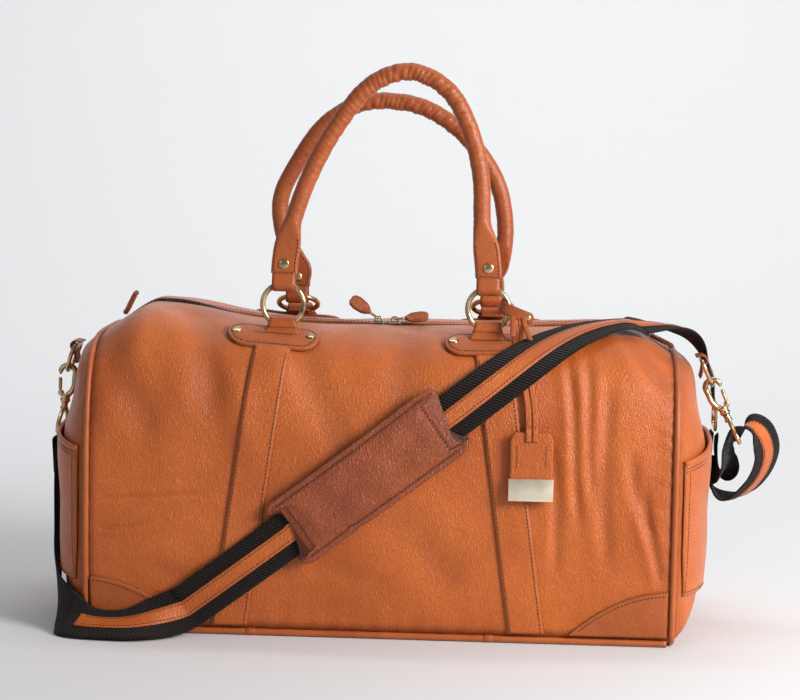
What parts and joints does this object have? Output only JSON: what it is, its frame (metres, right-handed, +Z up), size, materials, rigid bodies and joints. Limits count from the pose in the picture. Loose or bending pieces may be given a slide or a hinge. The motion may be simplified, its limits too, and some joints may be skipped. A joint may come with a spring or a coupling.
{
  "type": "weekender bag",
  "caption": "Leather weekender bag with rolled handles on rings, a two-slider zip, end slip pockets and a webbing shoulder strap with a sliding pad.",
  "frame": {"origin": "centre of the underside of the bottom panel, on the floor", "axes": "+X along the bag to the right as seen from the front, -Y towards the front, +Z up"},
  "size_m": [0.6531, 0.2955, 0.5048],
  "materials": {
    "tan_leather": "grained, semi-gloss",
    "dark_leather": "grained, semi-gloss",
    "webbing": "herringbone weave",
    "brass": "polished antique",
    "lining": "woven cotton",
    "board": "matt fibreboard",
    "zip_tape": "woven tape with coil teeth"
  },
  "bodies": {
    "root": {"front_panel": "tan_leather", "back_panel": "tan_leather", "bottom_panel": "tan_leather", "end_panel_left": "tan_leather", "end_panel_right": "tan_leather", "base_board": "board", "lining": "lining", "end_pocket_left": "tan_leather", "end_pocket_right": "tan_leather", "zip_half_front": "zip_tape", "zip_half_rear": "zip_tape", "zip_end_tab_left": "dark_leather", "zip_end_tab_right": "dark_leather", "strip_front_left": "tan_leather", "strip_front_right": "tan_leather", "strip_rear_left": "tan_leather", "strip_rear_right": "tan_leather", "corner_patch_front_left": "dark_leather", "corner_patch_front_right": "dark_leather", "corner_patch_rear_left": "dark_leather", "corner_patch_rear_right": "dark_leather", "piping_left": "dark_leather", "piping_right": "dark_leather", "piping_front": "dark_leather", "piping_rear": "dark_leather", "handle_anchor_front_left": "dark_leather", "handle_anchor_front_right": "dark_leather", "handle_anchor_rear_left": "dark_leather", "handle_anchor_rear_right": "dark_leather", "d_ring_tab_left": "dark_leather", "d_ring_tab_right": "dark_leather", "strap_webbing": "webbing", "strap_leather": "tan_leather", "tag_strap": "dark_leather"},
    "front_rings": {"ring_front_left": "brass", "ring_front_right": "brass"},
    "front_handle": {"handle_front": "dark_leather"},
    "rear_rings": {"ring_rear_left": "brass", "ring_rear_right": "brass"},
    "rear_handle": {"handle_rear": "dark_leather"},
    "slider_left": {"zip_slider_left": "brass"},
    "slider_right": {"zip_slider_right": "brass"},
    "pull_left": {"zip_pull_left": "dark_leather"},
    "pull_right": {"zip_pull_right": "dark_leather"},
    "left_clip": {"d_ring_left": "brass", "hook_left": "brass", "swivel_left": "brass"},
    "right_clip": {"d_ring_right": "brass", "hook_right": "brass", "swivel_right": "brass", "strap_slack_loop": "webbing", "strap_adjuster": "brass"},
    "left_gate": {"gate_left": "brass"},
    "right_gate": {"gate_right": "brass"},
    "tag": {"tag_leather": "dark_leather", "tag_plate": "brass"},
    "pad": {"shoulder_pad": "dark_leather"}
  },
  "joints": [
    {"name": "front_rings_swing", "type": "hinge", "parent": "root", "child": "front_rings", "pos_m": [0, -0.076, 0.2715], "axis": [1, 0, 0], "range_deg": [-5, 26]},
    {"name": "front_handle_swing", "type": "hinge", "parent": "front_rings", "child": "front_handle", "pos_m": [0, -0.076, 0.3081], "axis": [1, 0, 0], "range_deg": [-8, 110]},
    {"name": "rear_rings_swing", "type": "hinge", "parent": "root", "child": "rear_rings", "pos_m": [0, 0.076, 0.2715], "axis": [1, 0, 0], "range_deg": [-90, 5]},
    {"name": "rear_handle_swing", "type": "hinge", "parent": "rear_rings", "child": "rear_handle", "pos_m": [0, 0.0431, 0.28754], "axis": [1, 0, 0], "range_deg": [-60, 4]},
    {"name": "zip_slider_left_travel", "type": "slide", "parent": "root", "child": "slider_left", "axis": [-0.9997, 0, 0.026], "range_m": [0, 0.088]},
    {"name": "zip_slider_right_travel", "type": "slide", "parent": "root", "child": "slider_right", "axis": [1, 0, 0], "range_m": [0, 0.085]},
    {"name": "zip_pull_left_flip", "type": "hinge", "parent": "slider_left", "child": "pull_left", "pos_m": [-0.0115, 0, 0.27214], "axis": [0, 1, 0], "range_deg": [-25, 50]},
    {"name": "zip_pull_right_flip", "type": "hinge", "parent": "slider_right", "child": "pull_right", "pos_m": [0.0035, 0, 0.2721], "axis": [0, 1, 0], "range_deg": [-79, 0]},
    {"name": "left_clip_swing", "type": "hinge", "parent": "root", "child": "left_clip", "pos_m": [-0.286, -0.016, 0.243], "axis": [0, 1, 0], "range_deg": [0, 12]},
    {"name": "right_clip_swing", "type": "hinge", "parent": "root", "child": "right_clip", "pos_m": [0.2825, -0.016, 0.243], "axis": [0, -1, 0], "range_deg": [0, 10]},
    {"name": "left_gate_open", "type": "hinge", "parent": "left_clip", "child": "left_gate", "pos_m": [-0.30199, -0.016, 0.20229], "axis": [0, 1, 0], "range_deg": [0, 25], "stiffness_Nm_per_rad": 0.002},
    {"name": "right_gate_open", "type": "hinge", "parent": "right_clip", "child": "right_gate", "pos_m": [0.30578, -0.016, 0.20675], "axis": [0, -1, 0], "range_deg": [0, 25], "stiffness_Nm_per_rad": 0.002},
    {"name": "tag_lift", "type": "hinge", "parent": "root", "child": "tag", "pos_m": [0.1325, -0.135, 0.189], "axis": [-1, 0, 0], "range_deg": [0, 60]},
    {"name": "shoulder_pad_slide", "type": "slide", "parent": "root", "child": "pad", "axis": [0.7986, 0, 0.6018], "range_m": [-0.008, 0.008]}
  ]
}
